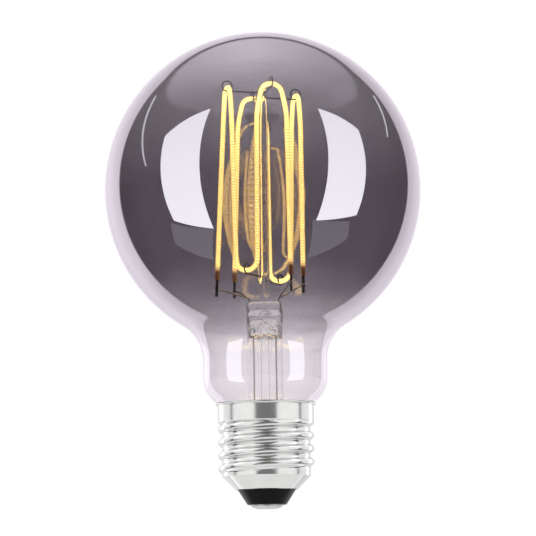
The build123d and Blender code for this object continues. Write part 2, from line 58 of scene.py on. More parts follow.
class RayKind(Enum):
    """Light Path outputs that the room asks for."""

    CAMERA = "Is Camera Ray"
    DIFFUSE = "Is Diffuse Ray"
    TRANSMISSION = "Is Transmission Ray"
    GLOSSY_DEPTH = "Glossy Depth"
    TRANSMISSION_DEPTH = "Transmission Depth"
    SINGULAR = "Is Singular Ray"


class Side(Enum):
    """Sides of the bulb as the camera sees them."""

    LEFT = -1
    RIGHT = 1

    def label(self) -> str:
        """Name of the side as it stands in the names of pieces."""
        return self.name.lower()


class Blend(Enum):
    """How a ramp goes from its start to its end."""

    EVEN = "LINEAR"
    SOFT = "SMOOTHSTEP"


def linear(code: str) -> tuple[float, float, float, float]:
    """Turn an sRGB hex colour into linear RGBA.

    Args:
        code: six hex digits with a leading hash.

    Returns:
        Red, green, blue and an alpha of one.
    """
    parts = [int(code[i : i + 2], 16) / 255 for i in (1, 3, 5)]
    red, green, blue = (p / 12.92 if p <= 0.04045 else ((p + 0.055) / 1.055) ** 2.4 for p in parts)
    return red, green, blue, 1.0


def add_node(
    tree: bpy.types.NodeTree, kind: str, inputs: dict[str | int, object] | None = None, **settings: object
) -> bpy.types.Node:
    """Add a node with its settings, input values and links.

    Args:
        tree: node tree that gets the node.
        kind: Blender's type name of the node.
        inputs: value or output socket for each input, by name or place.
        settings: properties of the node itself.

    Returns:
        The new node.
    """
    node = tree.nodes.new(kind)
    for name, value in settings.items():
        setattr(node, name, value)
    for key, value in (inputs or {}).items():
        if isinstance(value, bpy.types.NodeSocket):
            tree.links.new(value, node.inputs[key])
        else:
            node.inputs[key].default_value = value
    return node


def start_material(name: str) -> tuple[bpy.types.Material, bpy.types.NodeTree, bpy.types.Node]:
    """Start a node material.

    Args:
        name: name of the material.

    Returns:
        The material, its node tree and its Principled shader.
    """
    material = bpy.data.materials.new(name)
    material.use_nodes = True
    tree = material.node_tree
    return material, tree, tree.nodes["Principled BSDF"]


def arc(
    centre: tuple[float, float], radius: float, start: float, end: float, steps: int
) -> list[Vector]:
    """Points of an arc in a half section.

    Args:
        centre: distance from the axis and height of the arc's centre.
        radius: radius of the arc.
        start: first angle in radians, from the outward direction.
        end: last angle in radians.
        steps: number of chords.

    Returns:
        Points in the XZ plane, both ends included.
    """
    points = []
    for i in range(steps + 1):
        turn = start + (end - start) * i / steps
        points.append(Vector((centre[0] + radius * math.cos(turn), 0, centre[1] + radius * math.sin(turn))))
    return points


def run(start: Vector, end: Vector, steps: int) -> list[Vector]:
    """Evenly spaced points from start to end, both included."""
    return [start.lerp(end, i / steps) for i in range(steps + 1)]


def around(radius: float, turn: float, z: float) -> Vector:
    """Point at a radius and a turn in degrees about the bulb's axis."""
    return Vector((radius * math.cos(math.radians(turn)), radius * math.sin(math.radians(turn)), z))


def along(turn: float) -> Vector:
    """Unit vector along a circle about the axis, anticlockwise from above."""
    return Vector((-math.sin(math.radians(turn)), math.cos(math.radians(turn)), 0))


def spin_outline(
    shape: bmesh.types.BMesh, outline: list[Vector], steps: int
) -> list[bmesh.types.BMFace]:
    """Turn a half section once round the bulb's axis.

    Args:
        shape: mesh that gets the surface.
        outline: points in the XZ plane.
        steps: number of segments round the axis.

    Returns:
        The new faces.
    """
    before = set(shape.faces)
    points = [shape.verts.new(p) for p in outline]
    edges = [shape.edges.new(pair) for pair in zip(points, points[1:])]
    bmesh.ops.spin(
        shape,
        geom=points + edges,
        cent=(0, 0, 0),
        axis=(0, 0, 1),
        angle=2 * math.pi,
        steps=steps,
        use_merge=True,
    )
    return [face for face in shape.faces if face not in before]


def make_piece(
    shape: bmesh.types.BMesh, name: str, materials: list[bpy.types.Material]
) -> bpy.types.Object:
    """Turn a mesh in millimetres into a piece that rides on the bulb.

    Args:
        shape: mesh in millimetres, which is freed.
        name: name of the piece.
        materials: materials in the order of the faces' indices.

    Returns:
        The new object.
    """
    bmesh.ops.scale(shape, vec=(MM, MM, MM), verts=shape.verts)
    mesh = bpy.data.meshes.new(name)
    shape.to_mesh(mesh)
    shape.free()
    mesh.polygons.foreach_set("use_smooth", [True] * len(mesh.polygons))
    mesh.set_sharp_from_angle(angle=math.radians(CREASE))
    for material in materials:
        mesh.materials.append(material)
    piece = bpy.data.objects.new(name, mesh)
    bpy.context.scene.collection.objects.link(piece)
    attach(piece, ROOT_BODY)
    LOG.info("%s has %d faces", name, len(mesh.polygons))
    return piece


def dress_node(name: str, material: bpy.types.Material) -> None:
    """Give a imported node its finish.

    Args:
        name: name of the node.
        material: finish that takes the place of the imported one.
    """
    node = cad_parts[name]
    node.data.materials.clear()
    node.data.materials.append(material)
    LOG.info("%s is dressed in %s", name, material.name)


@dataclass(frozen=True)
class SmokedGlass:
    """Blown soda glass with a smoke-grey metal film, thinner at the crown and gone at the neck.

    The film lets about a quarter of the light through and mirrors a little of it, so the eye sees a dark
    grey globe with clear reflections on a bare pale neck. Heights and sizes are in millimetres.
    """

    smoke: str = "#675E67"
    bare: str = "#FAF6FA"
    glass_ior: float = 1.52
    film_ior: float = 5.0
    clear_below: float = 40.0
    full_above: float = 66.0
    full_below: float = 86.0
    crown_at: float = 132.0
    crown_share: float = 0.62
    streak_size: float = 26.0
    streak_depth: float = 5.0
    face_on_gloss: float = 0.85
    slant_from: float = 0.3
    slant_to: float = 0.56
    neck_gloss: float = 0.24
    inner_gloss_from: float = 0.23

    def add_film(self, tree: bpy.types.NodeTree) -> bpy.types.NodeSocket:
        """Add the film's thickness, which drifts a little up and down round the globe.

        Args:
            tree: node tree of the glass.

        Returns:
            The thickness, where one is the full film.
        """
        place = add_node(tree, "ShaderNodeTexCoord").outputs["Object"]
        cloud = add_node(
            tree,
            "ShaderNodeTexNoise",
            {"Vector": place, "Scale": 1 / (self.streak_size * MM), "Detail": 2.0},
        )
        drift = add_node(
            tree,
            "ShaderNodeMapRange",
            {
                "Value": cloud.outputs["Fac"],
                "To Min": -self.streak_depth * MM,
                "To Max": self.streak_depth * MM,
            },
        )
        axes = add_node(tree, "ShaderNodeSeparateXYZ", {"Vector": place})
        height = add_node(
            tree, "ShaderNodeMath", {0: axes.outputs["Z"], 1: drift.outputs[0]}, operation="ADD"
        )
        rise = add_node(
            tree,
            "ShaderNodeMapRange",
            {
                "Value": height.outputs[0],
                "From Min": self.clear_below * MM,
                "From Max": self.full_above * MM,
            },
            interpolation_type="SMOOTHSTEP",
        )
        crown = add_node(
            tree,
            "ShaderNodeMapRange",
            {
                "Value": height.outputs[0],
                "From Min": self.full_below * MM,
                "From Max": self.crown_at * MM,
                "To Min": 1.0,
                "To Max": self.crown_share,
            },
        )
        film = add_node(
            tree, "ShaderNodeMath", {0: rise.outputs[0], 1: crown.outputs[0]}, operation="MULTIPLY"
        )
        return film.outputs[0]

    def add_gloss(self, tree: bpy.types.NodeTree, film: bpy.types.NodeSocket) -> bpy.types.NodeSocket:
        """Add how much the film mirrors: more at a slant, and on its inner side only where it is thick.

        Args:
            tree: node tree of the glass.
            film: thickness of the film.

        Returns:
            The weight of the mirroring coat.
        """
        slant = add_node(tree, "ShaderNodeLayerWeight", {"Blend": 0.5})
        sheen = add_node(
            tree,
            "ShaderNodeMapRange",
            {
                "Value": slant.outputs["Facing"],
                "From Min": self.slant_from,
                "From Max": self.slant_to,
                "To Min": self.face_on_gloss,
                "To Max": 1.0,
            },
            interpolation_type="SMOOTHSTEP",
        )
        outside = add_node(tree, "ShaderNodeMapRange", {"Value": film, "To Min": self.neck_gloss})
        inside = add_node(tree, "ShaderNodeMapRange", {"Value": film, "From Min": self.inner_gloss_from})
        face = add_node(tree, "ShaderNodeNewGeometry")
        cover = add_node(
            tree,
            "ShaderNodeMix",
            {"Factor": face.outputs["Backfacing"], "A": outside.outputs[0], "B": inside.outputs[0]},
            data_type="FLOAT",
        )
        gloss = add_node(
            tree, "ShaderNodeMath", {0: cover.outputs["Result"], 1: sheen.outputs[0]}, operation="MULTIPLY"
        )
        return gloss.outputs[0]

    def material(self, name: str, filmed: bool) -> bpy.types.Material:
        """Build the glass.

        Args:
            name: name of the material.
            filmed: whether this face of the wall carries the film.

        Returns:
            The material.
        """
        material, tree, glass = start_material(name)
        glass.inputs["Transmission Weight"].default_value = 1.0
        glass.inputs["IOR"].default_value = self.glass_ior
        glass.inputs["Roughness"].default_value = 0.0
        glass.inputs["Base Color"].default_value = linear(self.bare)
        if not filmed:
            return material
        film = self.add_film(tree)
        tint = add_node(
            tree,
            "ShaderNodeMix",
            {"Factor": film, "A": linear(self.bare), "B": linear(self.smoke)},
            data_type="RGBA",
        )
        tree.links.new(tint.outputs["Result"], glass.inputs["Base Color"])
        tree.links.new(self.add_gloss(tree, film), glass.inputs["Coat Weight"])
        glass.inputs["Coat IOR"].default_value = self.film_ior
        glass.inputs["Coat Roughness"].default_value = 0.0
        return material


@dataclass(frozen=True)
class ClearGlass:
    """Drawn lead glass of the stem, in millimetres.

    It is water clear, with draw lines so faint that they only bend what shows through, and the pinch has
    wrinkles from its tongs that break up the light. The post above the pinch is smooth.
    """

    colour: str = "#FFFFFF"
    ior: float = 1.5
    line_spacing: float = 1.6
    line_stretch: float = 0.08
    line_depth: float = 0.008
    line_strength: float = 0.5
    pinch_from: float = 46.0
    pinch_to: float = 50.0
    smooth_from: float = 54.5
    smooth_above: float = 57.0
    wrinkle_size: float = 1.1
    wrinkle_depth: float = 0.5

    def material(self) -> bpy.types.Material:
        """Build the glass.

        Returns:
            The material.
        """
        material, tree, glass = start_material("stem_glass")
        glass.inputs["Base Color"].default_value = linear(self.colour)
        glass.inputs["Transmission Weight"].default_value = 1.0
        glass.inputs["IOR"].default_value = self.ior
        glass.inputs["Roughness"].default_value = 0.0
        place = add_node(tree, "ShaderNodeTexCoord").outputs["Object"]
        stretch = add_node(
            tree, "ShaderNodeMapping", {"Vector": place, "Scale": (1.0, 1.0, self.line_stretch)}
        )
        lines = add_node(
            tree,
            "ShaderNodeTexNoise",
            {"Vector": stretch.outputs[0], "Scale": 1 / (self.line_spacing * MM), "Detail": 1.0},
        )
        drawn = add_node(
            tree,
            "ShaderNodeBump",
            {
                "Height": lines.outputs["Fac"],
                "Distance": self.line_depth * MM,
                "Strength": self.line_strength,
            },
        )
        height = add_node(tree, "ShaderNodeSeparateXYZ", {"Vector": place}).outputs["Z"]
        pinch = add_node(
            tree,
            "ShaderNodeMapRange",
            {"Value": height, "From Min": self.pinch_from * MM, "From Max": self.pinch_to * MM},
        )
        below_post = add_node(
            tree,
            "ShaderNodeMapRange",
            {
                "Value": height,
                "From Min": self.smooth_from * MM,
                "From Max": self.smooth_above * MM,
                "To Min": 1.0,
                "To Max": 0.0,
            },
        )
        pressing = add_node(
            tree, "ShaderNodeMath", {0: pinch.outputs[0], 1: below_post.outputs[0]}, operation="MULTIPLY"
        )
        wrinkles = add_node(
            tree,
            "ShaderNodeTexNoise",
            {"Vector": place, "Scale": 1 / (self.wrinkle_size * MM), "Detail": 1.0},
        )
        pressed = add_node(
            tree,
            "ShaderNodeBump",
            {
                "Height": wrinkles.outputs["Fac"],
                "Distance": self.wrinkle_depth * MM,
                "Strength": pressing.outputs[0],
                "Normal": drawn.outputs[0],
            },
        )
        tree.links.new(pressed.outputs[0], glass.inputs["Normal"])
        return material


@dataclass(frozen=True)
class GrainedFinish:
    """Opaque finish with a grain in its skin and patches of another shade and gloss, in millimetres."""

    name: str
    colour: str
    shade: str
    roughness: float
    grain: float
    grain_depth: float
    grain_strength: float = 0.5
    grain_detail: float = 3.0
    patch_grains: float = 1.0
    patch_detail: float = 3.0
    rough_spread: float = 0.2
    metallic: float = 0.0

    def material(self) -> bpy.types.Material:
        """Build the finish.

        Returns:
            The material.
        """
        material, tree, skin = start_material(self.name)
        skin.inputs["Metallic"].default_value = self.metallic
        place = add_node(tree, "ShaderNodeTexCoord").outputs["Object"]
        patches, grain = (
            add_node(
                tree,
                "ShaderNodeTexNoise",
                {"Vector": place, "Scale": 1 / (size * MM), "Detail": detail},
            )
            for size, detail in (
                (self.patch_grains * self.grain, self.patch_detail),
                (self.grain, self.grain_detail),
            )
        )
        tint = add_node(
            tree,
            "ShaderNodeMix",
            {"Factor": patches.outputs["Fac"], "A": linear(self.colour), "B": linear(self.shade)},
            data_type="RGBA",
        )
        rough = add_node(
            tree,
            "ShaderNodeMapRange",
            {
                "Value": patches.outputs["Fac"],
                "To Min": self.roughness * (1 - self.rough_spread),
                "To Max": self.roughness * (1 + self.rough_spread),
            },
        )
        bump = add_node(
            tree,
            "ShaderNodeBump",
            {
                "Height": grain.outputs["Fac"],
                "Distance": self.grain_depth * MM,
                "Strength": self.grain_strength,
            },
        )
        tree.links.new(tint.outputs["Result"], skin.inputs["Base Color"])
        tree.links.new(rough.outputs[0], skin.inputs["Roughness"])
        tree.links.new(bump.outputs[0], skin.inputs["Normal"])
        return material


@dataclass(frozen=True)
class MouldedBody(GrainedFinish):
    """Moulded, cast or dipped body, whose one fine grain shows in its colour, gloss and skin alike."""


@dataclass(frozen=True)
class PlatedMetal(GrainedFinish):
    """Plated or drawn metal, with marks that blur its reflections and dull patches that break its shine."""

    grain_strength: float = 0.6
    grain_detail: float = 4.0
    patch_grains: float = 4.0
    rough_spread: float = 0.3
    metallic: float = 1.0


@dataclass(frozen=True)
class LitPhosphor:
    """Phosphor in silicone over a row of lit chips, in millimetres along the filament.

    The eye sees pale yellow at each chip, gold between the chips and copper brown at the unlit ends.
    """

    name: str
    chip: str
    between: str
    unlit: str
    glow: float
    see_through: float
    chip_pitch: float = 0.8
    gap_wave: float = -1.0
    chip_wave: float = 0.4
    unlit_end: float = 3.4
    fade: float = 1.3
    ior: float = 1.41
    roughness: float = 0.12

    def material(self) -> bpy.types.Material:
        """Build the phosphor.

        Returns:
            The material.
        """
        material, tree, coat = start_material(self.name)
        place = add_node(tree, "ShaderNodeAttribute", attribute_name="along")
        end = add_node(tree, "ShaderNodeAttribute", attribute_name="from_end")
        turns = add_node(
            tree,
            "ShaderNodeMath",
            {0: place.outputs["Fac"], 1: 2 * math.pi / self.chip_pitch},
            operation="MULTIPLY",
        )
        wave = add_node(tree, "ShaderNodeMath", {0: turns.outputs[0]}, operation="COSINE")
        chips = add_node(
            tree,
            "ShaderNodeMapRange",
            {"Value": wave.outputs[0], "From Min": self.gap_wave, "From Max": self.chip_wave},
            interpolation_type="SMOOTHSTEP",
        )
        hue = add_node(
            tree,
            "ShaderNodeMix",
            {"Factor": chips.outputs[0], "A": linear(self.between), "B": linear(self.chip)},
            data_type="RGBA",
        )
        lit = add_node(
            tree,
            "ShaderNodeMapRange",
            {
                "Value": end.outputs["Fac"],
                "From Min": self.unlit_end - self.fade,
                "From Max": self.unlit_end + self.fade,
            },
            interpolation_type="SMOOTHSTEP",
        )
        base = add_node(
            tree,
            "ShaderNodeMix",
            {"Factor": lit.outputs[0], "A": linear(self.unlit), "B": hue.outputs["Result"]},
            data_type="RGBA",
        )
        power = add_node(tree, "ShaderNodeMath", {0: lit.outputs[0], 1: self.glow}, operation="MULTIPLY")
        tree.links.new(base.outputs["Result"], coat.inputs["Base Color"])
        tree.links.new(hue.outputs["Result"], coat.inputs["Emission Color"])
        tree.links.new(power.outputs[0], coat.inputs["Emission Strength"])
        coat.inputs["Transmission Weight"].default_value = self.see_through
        coat.inputs["IOR"].default_value = self.ior
        coat.inputs["Roughness"].default_value = self.roughness
        return material


@dataclass
class GlassEnvelope:
    """Blown globe and neck, one wall with its film on the outside, in millimetres."""

    wall: float = 0.9
    globe_r: float = 44.0
    centre_z: float = 88.6
    neck_r: float = 17.15
    neck_fillet_r: float = 11.4
    shoulder_r: float = 8.0
    shoulder_angle: float = 44.0
    mouth_r: float = 12.2
    mouth_fillet_r: float = 1.5
    mouth_top: float = 27.04
    mouth_z: float = 24.0
    globe_chords: int = 90
    neck_fillet_chords: int = 16
    neck_chords: int = 8
    shoulder_chords: int = 12
    mouth_chords: int = 8
    steps: int = 160
    finish: SmokedGlass = SmokedGlass()

    def outline(self, inset: float) -> list[Vector]:
        """Half section of one face of the wall, from the crown to the mouth.

        Args:
            inset: distance inwards from the outer face.

        Returns:
            Points in the XZ plane.
        """
        slope = math.radians(self.shoulder_angle)
        fillet_x = self.neck_r + self.neck_fillet_r
        reach = self.globe_r + self.neck_fillet_r
        fillet_z = self.centre_z - math.sqrt(reach**2 - fillet_x**2)
        lean = math.asin((self.centre_z - fillet_z) / reach)
        shoulder_x = self.neck_r - self.shoulder_r
        mouth_x = self.mouth_r + self.mouth_fillet_r
        span = self.shoulder_r + self.mouth_fillet_r
        shoulder_z = self.mouth_top + (span - (mouth_x - shoulder_x) * math.cos(slope)) / math.sin(slope)
        neck_foot = Vector((self.neck_r - inset, 0, shoulder_z))
        fillet = (fillet_x, fillet_z), self.neck_fillet_r + inset, math.pi - lean, math.pi
        mouth = (mouth_x, self.mouth_top), self.mouth_fillet_r + inset, math.pi - slope, math.pi
        points = arc((0, self.centre_z), self.globe_r - inset, math.pi / 2, -lean, self.globe_chords)
        points += arc(*fillet, self.neck_fillet_chords)[1:]
        points += run(points[-1], neck_foot, self.neck_chords)[1:]
        points += arc((shoulder_x, shoulder_z), self.shoulder_r - inset, 0, -slope, self.shoulder_chords)[1:]
        points += arc(*mouth, self.mouth_chords)
        points.append(Vector((self.mouth_r - inset, 0, self.mouth_z)))
        return points

    def build(self) -> bpy.types.Object:
        """Make the globe in the place of its solid.

        Returns:
            The globe.
        """
        shape = bmesh.new()
        outer = self.outline(0)
        spin_outline(shape, outer, self.steps)
        inner = [outer[-1], *reversed(self.outline(self.wall))]
        for face in spin_outline(shape, inner, self.steps):
            face.material_index = 1
        bmesh.ops.remove_doubles(shape, verts=shape.verts, dist=MERGE)
        bmesh.ops.recalc_face_normals(shape, faces=shape.faces)
        materials = [self.finish.material("smoke_film", True), self.finish.material("bare_glass", False)]
        piece = make_piece(shape, "globe_glass", materials)
        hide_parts("glass_globe")
        return piece


@dataclass(frozen=True)
class FilamentCourse:
    """Where a filament goes: its turn about the axis, its ends' radii and turns, and its heights."""

    turn: float
    start: tuple[float, float]
    finish: tuple[float, float]
    crown_heights: tuple[float, float]
    bend_z: float


@dataclass
class FilamentCage:
    """Two flexible filaments, bent up and down round the post, in millimetres."""

    coat_r: float = 0.7
    core_r: float = 0.36
    apex_radius: float = 10.0
    apex_turn: float = 16.0
    apex_apart: float = 90.0
    arch_half: float = 4.3
    crown_half: float = 2.5
    crown_r: float = 3.0
    foot_drop: float = 7.8
    foot_r: float = 30.0
    bend_radius: float = 9.5
    bend_turn: float = 61.0
    bend_half: float = 3.3
    bend_r: float = 3.2
    end_z: float = 63.8
    front: FilamentCourse = FilamentCourse(
        turn=180.0, start=(13.5, 166.0), finish=(10.75, 313.6),
        crown_heights=(117.45, 116.9), bend_z=65.0,
    )
    back: FilamentCourse = FilamentCourse(
        turn=0.0, start=(11.3, 343.6), finish=(11.4, 137.0),
        crown_heights=(116.05, 117.15), bend_z=64.0,
    )
    segments: int = 20
    chord: float = 0.6
    fewest_chords: int = 4
    # Cast silicone with phosphor in it, clear enough that the lit chips show pale inside its gold
    coat: LitPhosphor = LitPhosphor(
        name="silicone_coat", chip="#FFEA8E", between="#EECA60", unlit="#E2B48E",
        glow=1.28, see_through=0.85,
    )
    # Lit chips on their strip, nearly white, with warm gaps
    core: LitPhosphor = LitPhosphor(
        name="lit_chips", chip="#FFFBEE", between="#DFC584", unlit="#DDA878",
        glow=3.8, see_through=0.0,
    )
    # Drawn molybdenum wire, dark grey and half bright
    hook: PlatedMetal = PlatedMetal(
        name="molybdenum_wire", colour="#2C2B2D", shade="#1E1E20",
        roughness=0.4, grain=0.4, grain_depth=0.004,
    )
    # Stamped steel strip, browned by its weld
    tab: PlatedMetal = PlatedMetal(
        name="tab_steel", colour="#4A4644", shade="#383534",
        roughness=0.38, grain=0.3, grain_depth=0.006,
    )

    def route(self, course: FilamentCourse) -> tuple[list[Vector], list[float]]:
        """Corners and bend radii of one filament.

        Args:
            course: where the filament goes.

        Returns:
            The corners, ends included, and a radius for each corner between.
        """
        points = [around(*course.start, self.end_z)]
        radii = []
        low_turn = self.bend_turn + course.turn
        first_apex = self.apex_turn + course.turn
        for count, apex_z in enumerate(course.crown_heights):
            apex = first_apex + self.apex_apart * count
            crown = around(self.apex_radius, apex, apex_z)
            foot = around(self.apex_radius, apex, apex_z - self.foot_drop)
            side = along(apex)
            points += [foot - side * self.arch_half, crown - side * self.crown_half]
            points += [crown + side * self.crown_half, foot + side * self.arch_half]
            radii += [self.foot_r, self.crown_r, self.crown_r, self.foot_r]
            if count == 0:
                low = around(self.bend_radius, low_turn, course.bend_z)
                points += [low - along(low_turn) * self.bend_half, low + along(low_turn) * self.bend_half]
                radii += [self.bend_r, self.bend_r]
        points.append(around(*course.finish, self.end_z))
        return points, radii

    def sweep(self, radius: float, course: FilamentCourse) -> bmesh.types.BMesh:
        """Draw a round section along one filament's runs and bends.

        Args:
            radius: radius of the section.
            course: where the filament goes.

        Returns:
            The mesh, with each point's distance along and from the nearer end.
        """
        points, radii = self.route(course)
        shape = bmesh.new()
        along_layer = shape.verts.layers.float.new("along")
        end_layer = shape.verts.layers.float.new("from_end")
        heading = (points[1] - points[0]).normalized()
        placed = Matrix.Translation(points[0]) @ heading.to_track_quat("Z", "Y").to_matrix().to_4x4()
        bmesh.ops.create_circle(
            shape, cap_ends=True, radius=radius, segments=self.segments, matrix=placed
        )
        ring = list(shape.edges)
        place = points[0]
        travelled = 0.0
        for count, corner in enumerate(points[1:]):
            heading = (corner - place).normalized()
            if count < len(radii):
                ahead = (points[count + 2] - corner).normalized()
                bend = heading.angle(ahead)
                cut = radii[count] * math.tan(bend / 2)
            else:
                cut = 0.0
            length = (corner - place).length - cut
            made = bmesh.ops.extrude_edge_only(shape, edges=ring)["geom"]
            fresh = [item for item in made if isinstance(item, bmesh.types.BMVert)]
            bmesh.ops.translate(shape, verts=fresh, vec=heading * length)
            drawn = [item for item in made if isinstance(item, bmesh.types.BMEdge)]
            ring = [edge for edge in drawn if all(vert in fresh for vert in edge.verts)]
            travelled += length
            for vert in fresh:
                vert[along_layer] = travelled
            if count == len(radii):
                break
            place = place + heading * length
            axis = heading.cross(ahead).normalized()
            centre = place + axis.cross(heading) * radii[count]
            steps = max(self.fewest_chords, round(radii[count] * bend / self.chord))
            for _ in range(steps):
                made = bmesh.ops.spin(
                    shape,
                    geom=ring + list({vert for edge in ring for vert in edge.verts}),
                    cent=centre,
                    axis=axis,
                    angle=bend / steps,
                    steps=1,
                )["geom_last"]
                ring = [item for item in made if isinstance(item, bmesh.types.BMEdge)]
                travelled += radii[count] * bend / steps
                for vert in {vert for edge in ring for vert in edge.verts}:
                    vert[along_layer] = travelled
            place = corner + ahead * cut
        bmesh.ops.contextual_create(shape, geom=ring)
        for vert in shape.verts:
            vert[end_layer] = min(vert[along_layer], travelled - vert[along_layer])
        bmesh.ops.recalc_face_normals(shape, faces=shape.faces)
        return shape

    def build(self) -> None:
        """Make both filaments, each a lit core in a golden silicone coat, and dress what holds them."""
        coat = self.coat.material()
        core = self.core.material()
        for name, course in (("front", self.front), ("back", self.back)):
            piece = make_piece(self.sweep(self.coat_r, course), f"filament_{name}_coat", [coat])
            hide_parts(f"filament_{name}")
            piece = make_piece(self.sweep(self.core_r, course), f"filament_{name}_chips", [core])
        hook = self.hook.material()
        tab = self.tab.material()
        for place in ("left", "front", "right", "back"):
            dress_node(f"top_hook_{place}", hook)
        for place in ("front", "back"):
            dress_node(f"low_hook_{place}", hook)
            for side in Side:
                dress_node(f"tab_{place}_{side.label()}", tab)


@dataclass
class StemMount:
    """Glass stem, exhaust tube and post, and the wires sealed in them."""

    glass: ClearGlass = ClearGlass()
    # Drawn nickel wire, half bright and a little warm
    wire: PlatedMetal = PlatedMetal(
        name="lead_wire_nickel", colour="#C8C3BE", shade="#AFA9A4",
        roughness=0.34, grain=0.4, grain_depth=0.004,
    )

    def build(self) -> None:
        """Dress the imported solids."""
        glass = self.glass.material()
        for name in ("stem", "exhaust_tube", "centre_post"):
            dress_node(name, glass)
        wire = self.wire.material()
        for side in Side:
            dress_node(f"lead_{side.label()}", wire)
            dress_node(f"branch_{side.label()}", wire)


@dataclass
class ScrewCap:
    """Rolled screw shell with its insulator and centre contact, in millimetres."""

    crest_r: float = 13.2
    root_r: float = 12.15
    pitch: float = 3.629
    arc_r: float = 1.025
    crest_z: float = 12.7
    first_turn: float = 150 / 360 - 1
    fade_turn: float = 0.09
    sheet: float = 0.3
    cone_r: float = 8.45
    cone_z: float = 5.2
    shoulder_z: float = 22.6
    skirt_r: float = 13.25
    skirt_z: float = 23.8
    rim_r: float = 13.75
    rim_z: float = 28.8
    steps: int = 168
    level: float = 0.11
    cone_levels: int = 20
    skirt_levels: int = 12
    lip_chords: int = 8
    # Nickel plate on rolled sheet, bright, with roller marks that are drawn coarse enough to show
    nickel: PlatedMetal = PlatedMetal(
        name="nickel_plate", colour="#DEDEDD", shade="#D0D0CF",
        roughness=0.2, grain=1.2, grain_depth=0.0015,
    )
    # Tinned contact, grey and satin from the tool that pressed it
    contact: PlatedMetal = PlatedMetal(
        name="contact_tin", colour="#C9C8C6", shade="#B2B1AF",
        roughness=0.45, grain=0.5, grain_depth=0.01,
    )
    # Moulded black insulator, half gloss
    insulator: MouldedBody = MouldedBody(
        name="black_insulator", colour="#1A1A1C", shade="#131314",
        roughness=0.45, grain=0.5, grain_depth=0.006,
    )
    # Baked cement, matt and gritty
    cement: MouldedBody = MouldedBody(
        name="basing_cement", colour="#D8D3C8", shade="#C4BEB1",
        roughness=0.85, grain=0.4, grain_depth=0.03,
    )

    def cone_top(self) -> float:
        """Height at which the cone below the thread reaches the thread's root."""
        return self.cone_z + self.root_r - self.cone_r

    def outline(self) -> list[Vector]:
        """Half section of the shell's outer face without its thread.

        Returns:
            Points in the XZ plane, from the cone up to the rim.
        """
        lip = self.rim_r - self.skirt_r
        lip_z = self.rim_z - lip - self.sheet
        cone_foot = Vector((self.cone_r, 0, self.cone_z))
        cone_head = Vector((self.root_r, 0, self.cone_top()))
        thread_levels = round((self.shoulder_z - self.cone_top()) / self.level)
        points = run(cone_foot, cone_head, self.cone_levels)
        points += run(points[-1], Vector((self.root_r, 0, self.shoulder_z)), thread_levels)[1:]
        points += run(points[-1], Vector((self.skirt_r, 0, self.skirt_z)), self.skirt_levels)[1:]
        points += run(points[-1], Vector((self.skirt_r, 0, lip_z)), self.skirt_levels)[1:]
        points += arc((self.rim_r, lip_z), lip, math.pi, math.pi / 2, self.lip_chords)[1:]
        points.append(Vector((self.rim_r, 0, self.rim_z)))
        return points

    def thread_radius(self, turn: float, z: float) -> float:
        """Radius of the rolled thread, whose crests and roots are arcs of one radius.

        Args:
            turn: turn about the axis, as a share of a full one.
            z: height above the contact.

        Returns:
            Distance from the axis.
        """
        count = (z - self.crest_z) / self.pitch - turn
        nearest = round(count)
        off = abs(count - nearest) * self.pitch
        crest_centre = self.crest_r - self.arc_r
        root_centre = crest_centre + 2 * math.sqrt(self.arc_r**2 - (self.pitch / 4) ** 2)
        if off < self.pitch / 4:
            radius = crest_centre + math.sqrt(self.arc_r**2 - off**2)
        else:
            radius = root_centre - math.sqrt(self.arc_r**2 - (self.pitch / 2 - off) ** 2)
        share = min(1.0, max(0.0, (nearest + turn - self.first_turn) / self.fade_turn))
        return self.root_r + (radius - self.root_r) * share * share * (3 - 2 * share)

    def roll_shell(self) -> bpy.types.Object:
        """Spin the shell, press its thread outwards and give the sheet its thickness.

        Returns:
            The shell.
        """
        shape = bmesh.new()
        spin_outline(shape, self.outline(), self.steps)
        bmesh.ops.remove_doubles(shape, verts=shape.verts, dist=MERGE)
        bmesh.ops.recalc_face_normals(shape, faces=shape.faces)
        for vert in shape.verts:
            if not self.cone_top() < vert.co.z < self.skirt_z:
                continue
            radius = vert.co.xy.length
            turn = math.atan2(vert.co.y, vert.co.x) / (2 * math.pi) % 1
            wanted = self.thread_radius(turn, vert.co.z)
            if vert.co.z > self.shoulder_z:
                wanted = max(radius, wanted)
            vert.co.xy *= wanted / radius
        if sum(face.calc_center_median().dot(face.normal) for face in shape.faces) < 0:
            bmesh.ops.reverse_faces(shape, faces=shape.faces)
        piece = make_piece(shape, "screw_shell", [self.nickel.material()])
        wall = piece.modifiers.new("sheet", "SOLIDIFY")
        wall.thickness = self.sheet * MM
        wall.offset = -1.0
        return piece

    def build(self) -> list[bpy.types.Object]:
        """Make the shell in the place of its solid, and dress the rest of the cap.

        Returns:
            What shows of the cap, its metal first and its insulator last.
        """
        shell = self.roll_shell()
        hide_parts("cap_shell")
        dress_node("cap_insulator", self.insulator.material())
        dress_node("centre_contact", self.contact.material())
        dress_node("basing_cement", self.cement.material())
        return [shell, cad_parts["centre_contact"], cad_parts["cap_insulator"]]


